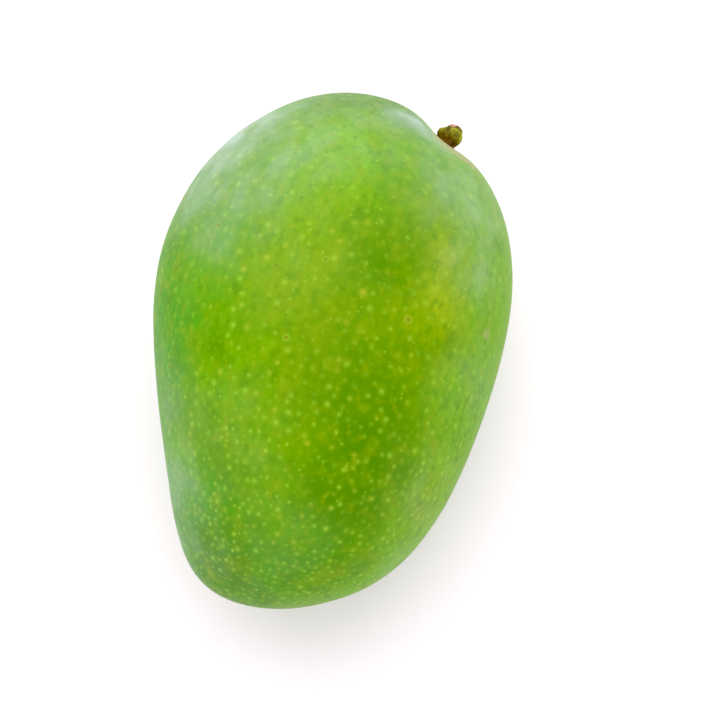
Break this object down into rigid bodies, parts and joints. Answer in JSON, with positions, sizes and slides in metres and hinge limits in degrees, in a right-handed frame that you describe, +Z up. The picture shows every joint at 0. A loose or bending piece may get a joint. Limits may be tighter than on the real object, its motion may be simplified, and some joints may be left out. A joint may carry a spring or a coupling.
{
  "type": "mango",
  "caption": "Whole green mango lying on one cheek, egg-shaped with a bent beak end, with the dried stub of its stem in a shallow hollow.",
  "frame": {"origin": "on the surface that the fruit lies on, below the middle of its box", "axes": "+Y along the fruit's long axis towards the stem end, +X across its width, +Z up through the cheek that faces up"},
  "size_m": [0.0818, 0.1224, 0.0676],
  "materials": {
    "skin": "waxy green fruit skin with pale dots, between satin and matt",
    "stem": "dull olive and brown, dried"
  },
  "bodies": {
    "root": {"fruit": "skin", "stem": "stem"}
  },
  "joints": []
}
